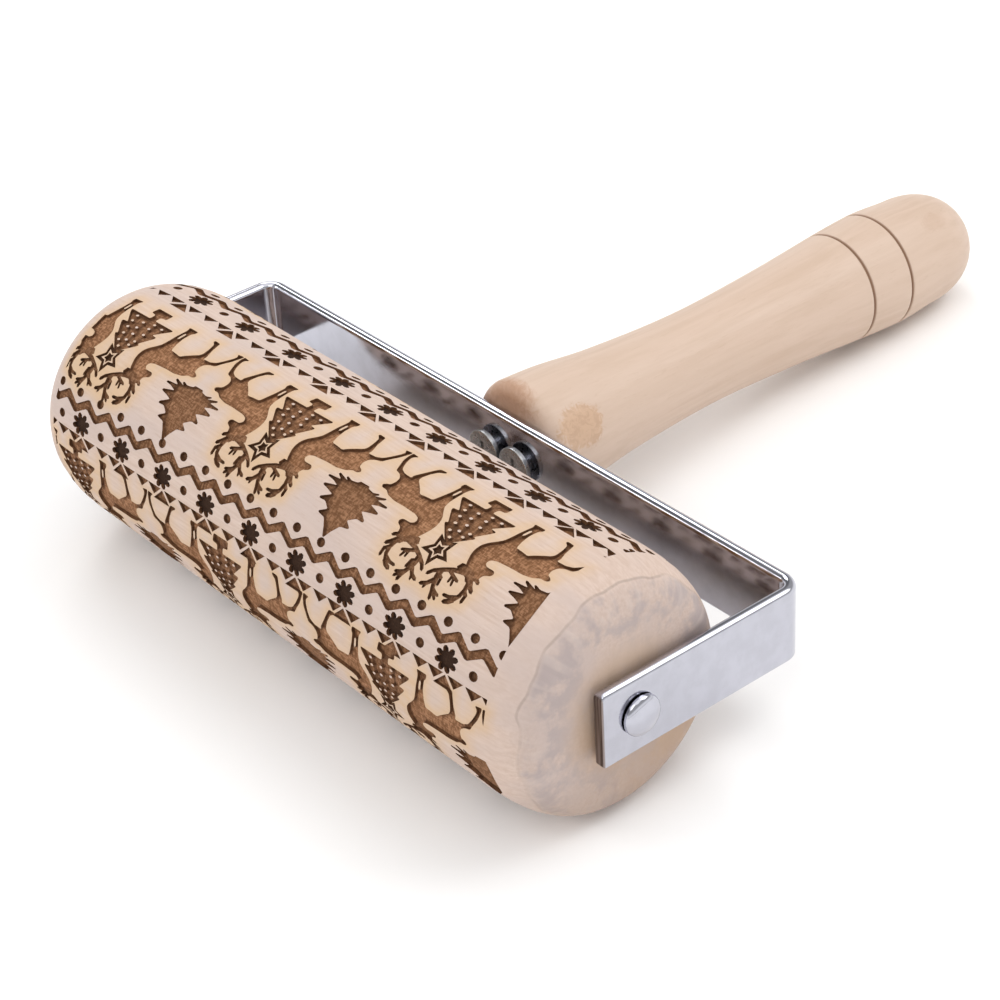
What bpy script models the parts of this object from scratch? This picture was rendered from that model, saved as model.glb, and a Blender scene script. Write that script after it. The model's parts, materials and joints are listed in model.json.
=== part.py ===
"""Embossed dough roller: an engraved wooden roller that turns on a steel rod, held in a
bent chrome strip with a turned wooden handle behind it.

Everything is in metres, +X along the roller, +Y from the roller to the end of the handle, +Z up.
The tool lies as it lies on a table: the roller and the swell of the handle touch Z = 0.
"""

from math import cos, pi, radians, sin

import bmesh
import bpy
from mathutils import Vector

MM = 0.001

# Roller: the engraved surface is at the full radius
ROLLER_RADIUS = 25.0 * MM
ROLLER_LENGTH = 150.0 * MM
ROLLER_OFFSET = 1.4 * MM  # towards +X, because the spacer is at the other end
SHOULDER_LENGTH = 16.0 * MM  # the rounded end, measured along the roller
SHOULDER_DROP = 8.0 * MM  # and measured towards the axis
SHOULDER_POWER = 2.9  # 2 is an ellipse, and more is squarer

# Bracket: a flat strip bent into a U that lies level with the axle
STRIP_HEIGHT = 15.4 * MM
STRIP_THICKNESS = 2.5 * MM
BRACKET_HALF_WIDTH = 80.0 * MM
BRACKET_FRONT = -8.3 * MM  # tips of the arms, from the axle
BRACKET_BACK = 40.3 * MM  # outer face of the crossbar, from the axle
BEND_RADIUS = 4.6 * MM  # outside the bend
STRIP_EDGE = 0.75 * MM  # rounding along the edges

# Axle and what sits on it
ROD_RADIUS = 2.5 * MM
BUSH_LENGTH = 12.0 * MM
BUSH_RADIUS = 3.8 * MM
FLANGE_RADIUS = 4.6 * MM
FLANGE_THICKNESS = 1.0 * MM
WASHER_RADIUS = 4.6 * MM
WASHER_THICKNESS = 0.5 * MM
SPACER_RADIUS = 4.2 * MM
ROLLER_BORE_RADIUS = 3.2 * MM
CAP_RADIUS = 4.0 * MM
CAP_RIM = 0.35 * MM
CAP_HEIGHT = 1.9 * MM
ROD_IN_CAP = 1.0 * MM

# Handle: (distance from the crossbar, radius) where the turned curve changes
HANDLE_LENGTH = 126.7 * MM
HANDLE_STATIONS = [
    (3.0 * MM, 13.1 * MM),
    (11.0 * MM, 12.7 * MM),
    (25.0 * MM, 11.2 * MM),
    (48.0 * MM, 10.15 * MM),
    (71.7 * MM, 11.0 * MM),
    (100.7 * MM, 12.85 * MM),
    (111.7 * MM, 12.3 * MM),
]
HANDLE_SHOULDER = 3.0 * MM
HANDLE_DOME_POWER = 2.3
GROOVES = (89.7 * MM, 100.7 * MM)
GROOVE_HALF_WIDTH = 0.45 * MM
GROOVE_DEPTH = 0.5 * MM

# Handle screws
SCREW_SPACING = 9.2 * MM
SCREW_DROP = 1.0 * MM  # below the middle of the strip
SCREW_STAND = 1.1 * MM  # the heads stand this far off the strip
SCREW_HEAD_RADIUS = 4.25 * MM
SCREW_HEAD_HEIGHT = 1.1 * MM
SCREW_HEAD_EDGE = 0.3 * MM
SCREW_SHANK_RADIUS = 2.0 * MM
SCREW_LENGTH = 26.0 * MM
RECESS_WIDTH = 0.9 * MM
RECESS_SPAN = 4.4 * MM
RECESS_DEPTH = 0.7 * MM

GAP = 0.3 * MM  # between two pieces that rest on each other
RUNNING_GAP = 0.05 * MM  # between the rod and the bushes, on the radius
HOLE_GAP = 0.15 * MM  # round a rod or a shank in its hole
SLACK = 0.3 * MM  # end play on each side of a washer

ROLLER_STEPS = 48
HANDLE_STEPS = 36
SMALL_STEPS = 24
ARC_STEPS = 6
HANDLE_PITCH = 7.0 * MM  # between the rings of the handle's mesh


# ---------------------------------------------------------------- scene and materials

for old in list(bpy.data.objects):
    bpy.data.objects.remove(old)

PARTS = bpy.data.collections.new("embossed_dough_roller")
CUTTERS = bpy.data.collections.new("cutters")
bpy.context.scene.collection.children.link(PARTS)
bpy.context.scene.collection.children.link(CUTTERS)


def material(name, colour, roughness, metallic=0.0):
    made = bpy.data.materials.new(name)
    made.use_nodes = True
    made.diffuse_color = (*colour, 1.0)
    shader = made.node_tree.nodes["Principled BSDF"]
    shader.inputs["Base Color"].default_value = (*colour, 1.0)
    shader.inputs["Roughness"].default_value = roughness
    shader.inputs["Metallic"].default_value = metallic
    return made


ROLLER_WOOD = material("roller_wood", (0.76, 0.58, 0.46), 0.55)
HANDLE_WOOD = material("handle_wood", (0.80, 0.63, 0.50), 0.5)
CHROME = material("chrome", (0.80, 0.80, 0.83), 0.08, 1.0)
STEEL = material("steel", (0.55, 0.55, 0.57), 0.3, 1.0)
NYLON = material("nylon", (0.85, 0.84, 0.80), 0.45)


# ---------------------------------------------------------------- modelling helpers

def add_object(name, mesh, surface, parent, collection=PARTS):
    mesh.materials.clear()
    if surface:
        mesh.materials.append(surface)
    made = bpy.data.objects.new(name, mesh)
    made.parent = parent
    collection.objects.link(made)
    return made


def turned(name, profile, surface, parent, steps, collection=PARTS):
    """A turned piece about its own Z. The profile is (radius, height), from the top down its side.

    A profile that starts and ends on the axis makes a solid, and any other is closed into a ring.
    """
    mesh = bpy.data.meshes.new(name)
    points = [(radius, 0.0, height) for radius, height in profile]
    edges = [(i, i + 1) for i in range(len(points) - 1)]
    if profile[0][0] > 0.0:
        edges.append((len(points) - 1, 0))
    mesh.from_pydata(points, edges, [])
    made = add_object(name, mesh, surface, parent, collection)
    screw = made.modifiers.new("turn", "SCREW")
    screw.axis = "Z"
    screw.angle = 2.0 * pi
    screw.steps = steps
    screw.render_steps = steps
    screw.use_merge_vertices = True
    screw.merge_threshold = 0.00001
    screw.use_smooth_shade = True
    return made


def rounded(outer, inner, steps=ARC_STEPS, power=2.0):
    """A quarter arc of (radius, height) points, from the outer radius in to the inner one.

    outer and inner are (radius, height) pairs, and power sets how square the arc is.
    """
    points = []
    for i in range(steps + 1):
        angle = 0.5 * pi * i / steps
        radius = inner[0] + (outer[0] - inner[0]) * max(cos(angle), 0.0) ** (2.0 / power)
        height = outer[1] + (inner[1] - outer[1]) * max(sin(angle), 0.0) ** (2.0 / power)
        points.append((radius, height))
    return points


def cylinder_cutter(name, radius, length, parent, location, rotation):
    mesh = bpy.data.meshes.new(name)
    shape = bmesh.new()
    bmesh.ops.create_cone(
        shape, cap_ends=True, segments=SMALL_STEPS, radius1=radius, radius2=radius, depth=length
    )
    shape.to_mesh(mesh)
    shape.free()
    return as_cutter(add_object(name, mesh, None, parent, CUTTERS), location, rotation)


def as_cutter(cutter, location, rotation):
    cutter.location = location
    cutter.rotation_euler = rotation
    cutter.hide_render = True
    cutter.display_type = "WIRE"
    return cutter


def cut(target, cutter):
    boolean = target.modifiers.new(cutter.name, "BOOLEAN")
    boolean.operation = "DIFFERENCE"
    boolean.solver = "EXACT"
    boolean.object = cutter


ALONG_X = (0.0, radians(90.0), 0.0)
AGAINST_X = (0.0, radians(-90.0), 0.0)
ALONG_Y = (radians(-90.0), 0.0, 0.0)
AGAINST_Y = (radians(90.0), 0.0, 0.0)


# ---------------------------------------------------------------- the handle's curve

def handle_radius(distance):
    """The turned radius: a smooth curve through HANDLE_STATIONS (Catmull-Rom, by distance)."""
    stations = HANDLE_STATIONS
    last = len(stations) - 1
    i = 0
    while i < last - 1 and distance > stations[i + 1][0]:
        i += 1

    def slope(k):
        before = stations[max(k - 1, 0)]
        after = stations[min(k + 1, last)]
        return (after[1] - before[1]) / (after[0] - before[0])

    (start, first), (end, second) = stations[i], stations[i + 1]
    span = end - start
    t = (distance - start) / span
    return (
        first * (2 * t**3 - 3 * t**2 + 1)
        + second * (3 * t**2 - 2 * t**3)
        + slope(i) * span * (t**3 - 2 * t**2 + t)
        + slope(i + 1) * span * (t**3 - t**2)
    )


def handle_profile():
    """(radius, distance from the crossbar) from the domed end back to the flat on the crossbar."""
    dome_start = HANDLE_STATIONS[-1][0]
    dome_radius = HANDLE_STATIONS[-1][1]
    dome = rounded((dome_radius, dome_start), (0.0, HANDLE_LENGTH), 8, HANDLE_DOME_POWER)
    profile = list(reversed(dome))
    rings = int((dome_start - HANDLE_STATIONS[0][0]) / HANDLE_PITCH)
    distances = [dome_start - HANDLE_PITCH * i for i in range(1, rings + 1)]
    distances = [d for d in distances if min(abs(d - g) for g in GROOVES) > 2.0 * GROOVE_HALF_WIDTH]
    for groove in GROOVES:
        distances += [groove - GROOVE_HALF_WIDTH, groove, groove + GROOVE_HALF_WIDTH]
    for distance in sorted(distances, reverse=True):
        depth = GROOVE_DEPTH if distance in GROOVES else 0.0
        profile.append((handle_radius(distance) - depth, distance))
    base = HANDLE_STATIONS[0]
    profile += rounded((base[1], base[0]), (base[1] - HANDLE_SHOULDER, 0.0), 5)
    profile.append((0.0, 0.0))
    return profile


HANDLE_PROFILE = handle_profile()
HANDLE_START = BRACKET_BACK + GAP


def resting_tilt():
    """The angle the tool tips back by until the roller and the handle both touch the table."""
    low, high = 0.0, radians(20.0)
    for _ in range(40):
        tilt = 0.5 * (low + high)
        depth = max((HANDLE_START + d) * sin(tilt) + r * cos(tilt) for r, d in HANDLE_PROFILE)
        if depth < ROLLER_RADIUS:
            low = tilt
        else:
            high = tilt
    return 0.5 * (low + high)


TILT = resting_tilt()
HANDLE_END = max((HANDLE_START + d) * cos(TILT) + r * sin(TILT) for r, d in HANDLE_PROFILE)
AXLE_Y = 0.5 * (ROLLER_RADIUS - HANDLE_END)  # centres the whole tool on Y = 0
AXLE_PLACE = Vector((0.0, AXLE_Y, ROLLER_RADIUS))


def empty(name, rotation):
    made = bpy.data.objects.new(name, None)
    made.empty_display_size = 0.02
    made.location = AXLE_PLACE
    made.rotation_euler = rotation
    PARTS.objects.link(made)
    return made


SPIN_AXIS = empty("spin_axis", (0.0, 0.0, 0.0))
HOLDER = empty("holder", (-TILT, 0.0, 0.0))


# ---------------------------------------------------------------- roller and bushes

def make_roller():
    top = 0.5 * ROLLER_LENGTH
    face_radius = ROLLER_RADIUS - SHOULDER_DROP
    arc = rounded((ROLLER_RADIUS, top - SHOULDER_LENGTH), (face_radius, top), 8, SHOULDER_POWER)
    recess = FLANGE_THICKNESS + GAP
    bore = BUSH_LENGTH + GAP
    bush_seat = [
        (FLANGE_RADIUS + GAP, top),
        (FLANGE_RADIUS + GAP, top - recess),
        (BUSH_RADIUS + GAP, top - recess),
        (BUSH_RADIUS + GAP, top - bore),
        (ROLLER_BORE_RADIUS, top - bore),
    ]
    upper_half = list(reversed(bush_seat)) + list(reversed(arc))
    lower_half = [(radius, -height) for radius, height in reversed(upper_half)]
    roller = turned("roller", upper_half + lower_half, ROLLER_WOOD, SPIN_AXIS, ROLLER_STEPS)
    roller.location = (ROLLER_OFFSET, 0.0, 0.0)
    roller.rotation_euler = ALONG_X


def make_bush(name, face, rotation):
    """A flanged bush: its sleeve runs into the roller, its flange flush with the roller's end."""
    bore = ROD_RADIUS + RUNNING_GAP
    profile = [
        (bore, 0.0),
        (FLANGE_RADIUS, 0.0),
        (FLANGE_RADIUS, -FLANGE_THICKNESS),
        (BUSH_RADIUS, -FLANGE_THICKNESS),
        (BUSH_RADIUS, -BUSH_LENGTH),
        (bore, -BUSH_LENGTH),
    ]
    bush = turned(name, profile, NYLON, SPIN_AXIS, SMALL_STEPS)
    bush.location = (face, 0.0, 0.0)
    bush.rotation_euler = rotation


# ---------------------------------------------------------------- bracket

def strip_outline():
    """The U of the strip from above: round the outside from -X to +X, and back inside."""

    def bend(centre, radius, start):
        step = 0.5 * pi / ARC_STEPS
        angles = [start - step * i for i in range(ARC_STEPS + 1)]
        return [(centre[0] + radius * cos(a), centre[1] + radius * sin(a)) for a in angles]

    def leg(half_width, back, radius):
        y = back - radius
        x = half_width - radius
        left = bend((-x, y), radius, pi)
        right = bend((x, y), radius, 0.5 * pi)
        return [(-half_width, BRACKET_FRONT)] + left + right + [(half_width, BRACKET_FRONT)]

    outside = leg(BRACKET_HALF_WIDTH, BRACKET_BACK, BEND_RADIUS)
    inside = leg(
        BRACKET_HALF_WIDTH - STRIP_THICKNESS,
        BRACKET_BACK - STRIP_THICKNESS,
        BEND_RADIUS - STRIP_THICKNESS,
    )
    return outside + list(reversed(inside))


def make_bracket():
    curve = bpy.data.curves.new("strip", "CURVE")
    curve.dimensions = "2D"
    curve.fill_mode = "BOTH"
    curve.extrude = 0.5 * STRIP_HEIGHT
    outline = strip_outline()
    spline = curve.splines.new("POLY")
    spline.points.add(len(outline) - 1)
    for point, (x, y) in zip(spline.points, outline):
        point.co = (x, y, 0.0, 1.0)
    spline.use_cyclic_u = True
    blank = bpy.data.objects.new("strip", curve)
    PARTS.objects.link(blank)
    graph = bpy.context.evaluated_depsgraph_get()
    mesh = bpy.data.meshes.new_from_object(blank.evaluated_get(graph))
    bpy.data.objects.remove(blank)

    shape = bmesh.new()
    shape.from_mesh(mesh)
    bmesh.ops.remove_doubles(shape, verts=shape.verts, dist=0.00001)
    bmesh.ops.dissolve_limit(shape, angle_limit=radians(1.0), verts=shape.verts, edges=shape.edges)
    bmesh.ops.recalc_face_normals(shape, faces=shape.faces)
    shape.to_mesh(mesh)
    shape.free()
    mesh.shade_smooth()
    mesh.set_sharp_from_angle(angle=radians(35.0))

    bracket = add_object("bracket", mesh, CHROME, HOLDER)
    bevel = bracket.modifiers.new("edges", "BEVEL")
    bevel.width = STRIP_EDGE
    bevel.segments = 3
    bevel.limit_method = "ANGLE"
    bevel.angle_limit = radians(60.0)

    across = 2.0 * BRACKET_HALF_WIDTH + 10.0 * MM
    rod_hole = cylinder_cutter(
        "rod_holes", ROD_RADIUS + HOLE_GAP, across, HOLDER, (0.0, 0.0, 0.0), ALONG_X
    )
    cut(bracket, rod_hole)
    for side, x in (("left", -0.5 * SCREW_SPACING), ("right", 0.5 * SCREW_SPACING)):
        hole = cylinder_cutter(
            side + "_screw_hole",
            SCREW_SHANK_RADIUS + HOLE_GAP,
            STRIP_THICKNESS + 6.0 * MM,
            HOLDER,
            (x, BRACKET_BACK - 0.5 * STRIP_THICKNESS, -SCREW_DROP),
            ALONG_Y,
        )
        cut(bracket, hole)


# ---------------------------------------------------------------- axle

def make_rod():
    end = BRACKET_HALF_WIDTH + GAP + ROD_IN_CAP
    mesh = bpy.data.meshes.new("axle_rod")
    shape = bmesh.new()
    bmesh.ops.create_cone(
        shape,
        cap_ends=True,
        segments=SMALL_STEPS,
        radius1=ROD_RADIUS,
        radius2=ROD_RADIUS,
        depth=2.0 * end,
    )
    shape.to_mesh(mesh)
    shape.free()
    mesh.shade_smooth()
    mesh.set_sharp_from_angle(angle=radians(35.0))
    rod = add_object("axle_rod", mesh, STEEL, HOLDER)
    rod.rotation_euler = ALONG_X


def make_cap(name, side, rotation):
    """A domed cap pushed onto the end of the rod. Its blind bore opens towards the arm."""
    bore = ROD_RADIUS + HOLE_GAP
    roof = ROD_IN_CAP + GAP
    dome = rounded((CAP_RADIUS, CAP_RIM), (0.0, CAP_HEIGHT), 6)
    profile = list(reversed(dome)) + [(CAP_RADIUS, 0.0), (bore, 0.0), (bore, roof), (0.0, roof)]
    cap = turned(name, profile, CHROME, HOLDER, SMALL_STEPS)
    cap.location = (side * (BRACKET_HALF_WIDTH + GAP), 0.0, 0.0)
    cap.rotation_euler = rotation


def make_ring(name, radius, start, length):
    """A washer or a spacer on the rod, from X = start along +X."""
    bore = ROD_RADIUS + HOLE_GAP
    profile = [(bore, length), (radius, length), (radius, 0.0), (bore, 0.0)]
    ring = turned(name, profile, NYLON, HOLDER, SMALL_STEPS)
    ring.location = (start, 0.0, 0.0)
    ring.rotation_euler = ALONG_X


# ---------------------------------------------------------------- handle and screws

def make_handle():
    handle = turned("handle", HANDLE_PROFILE, HANDLE_WOOD, HOLDER, HANDLE_STEPS)
    handle.location = (0.0, HANDLE_START, 0.0)
    handle.rotation_euler = ALONG_Y
    for side, x in (("left", -0.5 * SCREW_SPACING), ("right", 0.5 * SCREW_SPACING)):
        depth = SCREW_LENGTH - STRIP_THICKNESS - SCREW_STAND + GAP
        pilot = cylinder_cutter(
            side + "_pilot_hole",
            SCREW_SHANK_RADIUS + HOLE_GAP,
            2.0 * depth,
            HOLDER,
            (x, HANDLE_START, -SCREW_DROP),
            ALONG_Y,
        )
        cut(handle, pilot)


def make_screw(name, x):
    """A screw with a thin flat head. Local Z points out of the head, and Z = 0 is its underside."""
    edge = rounded(
        (SCREW_HEAD_RADIUS, SCREW_HEAD_HEIGHT - SCREW_HEAD_EDGE),
        (SCREW_HEAD_RADIUS - SCREW_HEAD_EDGE, SCREW_HEAD_HEIGHT),
        4,
    )
    point_length = 5.0 * MM
    profile = [(0.0, SCREW_HEAD_HEIGHT)]
    profile += list(reversed(edge))
    profile += [
        (SCREW_HEAD_RADIUS, 0.0),
        (SCREW_SHANK_RADIUS, 0.0),
        (SCREW_SHANK_RADIUS, point_length - SCREW_LENGTH),
        (0.0, -SCREW_LENGTH),
    ]
    screw = turned(name, profile, CHROME, HOLDER, SMALL_STEPS)
    place = (x, BRACKET_BACK - STRIP_THICKNESS - SCREW_STAND, -SCREW_DROP)
    screw.location = place
    screw.rotation_euler = AGAINST_Y
    arms = (("flat", RECESS_SPAN, RECESS_WIDTH), ("upright", RECESS_WIDTH, RECESS_SPAN))
    for arm, width, height in arms:
        mesh = bpy.data.meshes.new(name + "_" + arm)
        shape = bmesh.new()
        bmesh.ops.create_cube(shape, size=1.0)
        for vertex in shape.verts:
            narrow = 0.45 if vertex.co.z < 0.0 else 1.0
            vertex.co.x *= width * (narrow if width > height else 1.0)
            vertex.co.y *= height * (narrow if height > width else 1.0)
            vertex.co.z *= 2.0 * RECESS_DEPTH
        shape.to_mesh(mesh)
        shape.free()
        cutter = add_object(name + "_recess_" + arm, mesh, None, HOLDER, CUTTERS)
        front = place[1] - SCREW_HEAD_HEIGHT
        as_cutter(cutter, (x, front, place[2]), AGAINST_Y)
        cut(screw, cutter)


# ---------------------------------------------------------------- the whole tool

RIGHT_FACE = 0.5 * ROLLER_LENGTH + ROLLER_OFFSET
LEFT_FACE = RIGHT_FACE - ROLLER_LENGTH
LEFT_WASHER_START = LEFT_FACE - SLACK - WASHER_THICKNESS
SPACER_END = LEFT_WASHER_START - GAP
SPACER_START = -(BRACKET_HALF_WIDTH - STRIP_THICKNESS) + GAP

make_roller()
make_bush("right_bush", RIGHT_FACE, ALONG_X)
make_bush("left_bush", LEFT_FACE, AGAINST_X)
make_bracket()
make_rod()
make_cap("right_axle_cap", 1.0, ALONG_X)
make_cap("left_axle_cap", -1.0, AGAINST_X)
make_ring("right_washer", WASHER_RADIUS, RIGHT_FACE + SLACK, WASHER_THICKNESS)
make_ring("left_washer", WASHER_RADIUS, LEFT_WASHER_START, WASHER_THICKNESS)
make_ring("left_spacer", SPACER_RADIUS, SPACER_START, SPACER_END - SPACER_START)
make_handle()
make_screw("right_handle_screw", 0.5 * SCREW_SPACING)
make_screw("left_handle_screw", -0.5 * SCREW_SPACING)
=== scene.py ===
"""Looks for the embossed dough roller: a wooden roller with a laser-engraved winter pattern,
in a bent chrome strip with a turned wooden handle.

Shapes are written in millimetres in the holder's own frame: the origin on the axle, +X along the
roller, +Y towards the handle and +Z up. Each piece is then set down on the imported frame.
"""

import json
from math import cos, exp, hypot, pi, radians, sin

import bmesh
import bpy
from mathutils import Matrix, Vector, kdtree
from mathutils.geometry import delaunay_2d_cdt


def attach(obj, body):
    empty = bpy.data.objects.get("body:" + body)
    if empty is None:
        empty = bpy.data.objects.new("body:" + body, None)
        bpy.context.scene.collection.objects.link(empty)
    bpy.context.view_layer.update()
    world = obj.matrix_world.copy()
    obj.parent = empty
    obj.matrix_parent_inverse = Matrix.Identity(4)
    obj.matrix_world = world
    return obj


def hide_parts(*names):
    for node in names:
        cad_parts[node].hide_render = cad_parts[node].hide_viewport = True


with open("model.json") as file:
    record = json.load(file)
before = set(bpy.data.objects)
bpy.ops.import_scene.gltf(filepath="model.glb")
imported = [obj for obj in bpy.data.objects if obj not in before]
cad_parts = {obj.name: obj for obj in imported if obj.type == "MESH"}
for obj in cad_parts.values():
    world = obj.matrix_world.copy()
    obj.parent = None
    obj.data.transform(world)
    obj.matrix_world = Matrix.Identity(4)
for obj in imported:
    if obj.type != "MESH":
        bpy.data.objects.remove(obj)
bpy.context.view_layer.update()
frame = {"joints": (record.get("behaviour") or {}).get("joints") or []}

MM = 0.001
AXLE = Vector(frame["joints"][0]["pos_m"])
TILT = radians(4.7633)  # of the holder, with the handle's swell on the table
TILTED = Matrix.Translation(AXLE) @ Matrix.Rotation(-TILT, 4, "X")
HOLDER = TILTED @ Matrix.Scale(MM, 4)

# Roller
ROLLER_RADIUS = 25.0
ROLLER_CENTRE = 1.4
ROLLER_HALF = 75.0
RIGHT_END, LEFT_END = ROLLER_CENTRE + ROLLER_HALF, ROLLER_CENTRE - ROLLER_HALF
SHOULDER_LENGTH = 16.0
SHOULDER_DROP = 8.0
SHOULDER_POWER = 2.9  # 2 is an ellipse, and more is squarer
BORE_RADIUS = 3.2
ENGRAVING_DEPTH = 0.65
TURN = 2.0 * pi * ROLLER_RADIUS  # once round the unrolled surface

# Axle
GAP = 0.3  # between two pieces that rest on each other
ROD_RADIUS = 2.5
ROD_HALF = 81.3
ROD_BEVEL = 0.3
ROD_HOLE = 2.65  # radius of the hole in a cap, a washer or the spacer
BUSH_BORE = 2.55
BUSH_RADIUS = 3.8
BUSH_LENGTH = 12.0
FLANGE_RADIUS = 4.6
FLANGE_THICKNESS = 1.0
WASHER_RADIUS = 4.6
WASHER_THICKNESS = 0.5
SPACER_RADIUS = 4.2
SPACER_LENGTH = 2.5
RING_BEVEL = 0.12
CAP_RADIUS = 4.0
CAP_RIM = 0.35
CAP_HEIGHT = 1.9
CAP_POCKET = 1.3  # depth of the hollow that takes the rod's end

# Bracket: FRONT is where the arms' tips are, and BACK the crossbar's outer face
STRIP_HEIGHT = 15.4
STRIP_THICKNESS = 2.5
HALF_WIDTH = 80.0
FRONT = -8.3
BACK = 40.3
BEND_RADIUS = 4.6  # outside the bend
BEND_STEPS = 16
TOP_EDGE = 1.2  # rounding of the strip's upper edges
BOTTOM_EDGE = 0.4

# Handle: its stations are (distance from its root, radius)
HANDLE_START = BACK + GAP
HANDLE_LENGTH = 126.7
HANDLE_STATIONS = [
    (3.0, 13.1), (11.0, 12.7), (25.0, 11.2), (48.0, 10.15), (71.7, 11.0), (100.7, 12.85),
    (111.7, 12.3),
]
HANDLE_DOME_POWER = 2.3
GROOVES = (89.7, 100.7)
# A groove's section, as (offset along the handle, depth)
GROOVE_CUTS = [(-0.6, 0.0), (-0.42, 0.06), (-0.12, 0.48), (0.12, 0.48), (0.42, 0.06), (0.6, 0.0)]
# Brown stains on the handle: (point on it, (radius across, along), strength, softness, colour)
STAINS = [
    ((-10.4, -5.0, 0.4), (3.8, 2.2), 0.85, 0.7, (0.27, 0.13, 0.075)),
    ((-2.6, -10.2, 0.2), (7.6, 3.0), 0.7, 0.8, (0.46, 0.245, 0.14)),
    ((10.9, -5.8, 7.4), (4.5, 5.8), 0.75, 0.25, (0.58, 0.375, 0.235)),
    ((7.2, -10.2, 113.0), (2.2, 3.2), 0.2, 0.7, (0.42, 0.24, 0.13)),
]

# Screws: thin flat heads with a cross recess
SCREW_OFFSET = 4.6  # of each screw from the middle of the crossbar
SCREW_DROP = 1.0  # below the middle of the strip
SCREW_STAND = 1.1  # the heads stand this far off the strip
SCREW_HEAD_RADIUS = 4.25
SCREW_HEAD_HEIGHT = 1.1
SCREW_HEAD_EDGE = 0.3
SCREW_SHANK_RADIUS = 2.0
SCREW_LENGTH = 26.0
SCREW_POINT = 5.0
SCREW_STEPS = 48
RECESS_REACH = 2.2
RECESS_HALF_WIDTH = 0.45
RECESS_DEPTH = 0.6

# ---- camera, light, floor


def add_camera():
    """The viewpoint, given in the holder's frame and then set down with it."""
    azimuth, elevation, roll = radians(51.72), radians(33.276), radians(-3.436)
    distance, across, up, lens = 541.5, 18.046, 18.294, 96.88
    back = Vector((sin(azimuth) * cos(elevation), -cos(azimuth) * cos(elevation), sin(elevation)))
    level = Vector((0.0, 0.0, 1.0)).cross(back).normalized()
    upright = back.cross(level)
    right = cos(roll) * level + sin(roll) * upright
    top = cos(roll) * upright - sin(roll) * level
    aim = Vector((0.0, 60.0, 0.0)) - across * right - up * top
    place = aim + distance * back
    turn = Matrix((right, top, back)).transposed().to_4x4()
    data = bpy.data.cameras.new("camera")
    data.lens = lens
    data.sensor_width = 36.0
    data.clip_start = 0.01
    camera = new_object("camera", data)
    camera.matrix_world = TILTED @ Matrix.Translation(MM * place) @ turn
    bpy.context.scene.camera = camera


SKY_STRENGTH = 0.5
BACKDROP_STRENGTH = 0.6  # more near the horizon, from the white backdrop all round
BACKDROP_RISE = (0.14, 0.34)  # sine of the elevation where it starts to fade, and ends
DARK_STRENGTH = 0.20  # of the studio's dark side, high on the tool's left
DARK_WAY = Vector((-0.70, 0.16, 0.69)).normalized()
DARK_SPREAD = (0.76, 0.90)  # cosine of the angle from DARK_WAY at its edge, and inside it
# Each softbox faces AIM: (name, place, size, power)
AIM = Vector((0.0, 0.0, 0.02))
LIGHTS = [
    ("overhead", (0.12, 0.10, 1.05), (1.5, 1.5), 6.0),
    ("back_right", (0.45, 0.62, 0.80), (0.6, 0.6), 2.9),
    ("left", (-0.75, 0.30, 0.80), (0.5, 0.32), 2.8),
    ("front_left", (-0.80, -0.95, 0.62), (0.6, 0.26), 2.9),
    ("camera_side", (0.35, -0.75, 1.05), (0.8, 0.6), 2.6),
]


def add_softbox(name, place, size, power):
    data = bpy.data.lights.new(name, "AREA")
    data.shape = "RECTANGLE"
    data.size, data.size_y = size
    data.energy = power
    light = new_object(name, data)
    light.location = place
    light.rotation_euler = (Vector(place) - AIM).to_track_quat("Z", "Y").to_euler()


def add_floor():
    mesh = bpy.data.meshes.new("floor")
    shape = bmesh.new()
    bmesh.ops.create_grid(shape, x_segments=4, y_segments=4, size=6.0)
    shape.to_mesh(mesh)
    shape.free()
    paint = surface_nodes("floor")
    paint.shader.inputs["Specular IOR Level"].default_value = 0.0
    new_piece("floor", mesh, [paint.finish((0.985, 0.985, 0.985), 0.9)])


def add_world():
    """White light from all round, more near the horizon and less from one side high up."""
    n = Nodes(bpy.data.worlds.new("studio"), "Background")
    way = n.node("TexCoord", {}).outputs["Generated"]
    sky = n.ramp(n.dot(way, DARK_WAY), *DARK_SPREAD, SKY_STRENGTH, DARK_STRENGTH)
    backdrop = n.ramp(n.split(way)[2], *BACKDROP_RISE, BACKDROP_STRENGTH, 0.0)
    n.feed(n.shader.inputs["Color"], (1.0, 1.0, 1.0))
    n.feed(n.shader.inputs["Strength"], n.plus(sky, backdrop))
    bpy.context.scene.world = n.owner


# ---- materials


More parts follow.
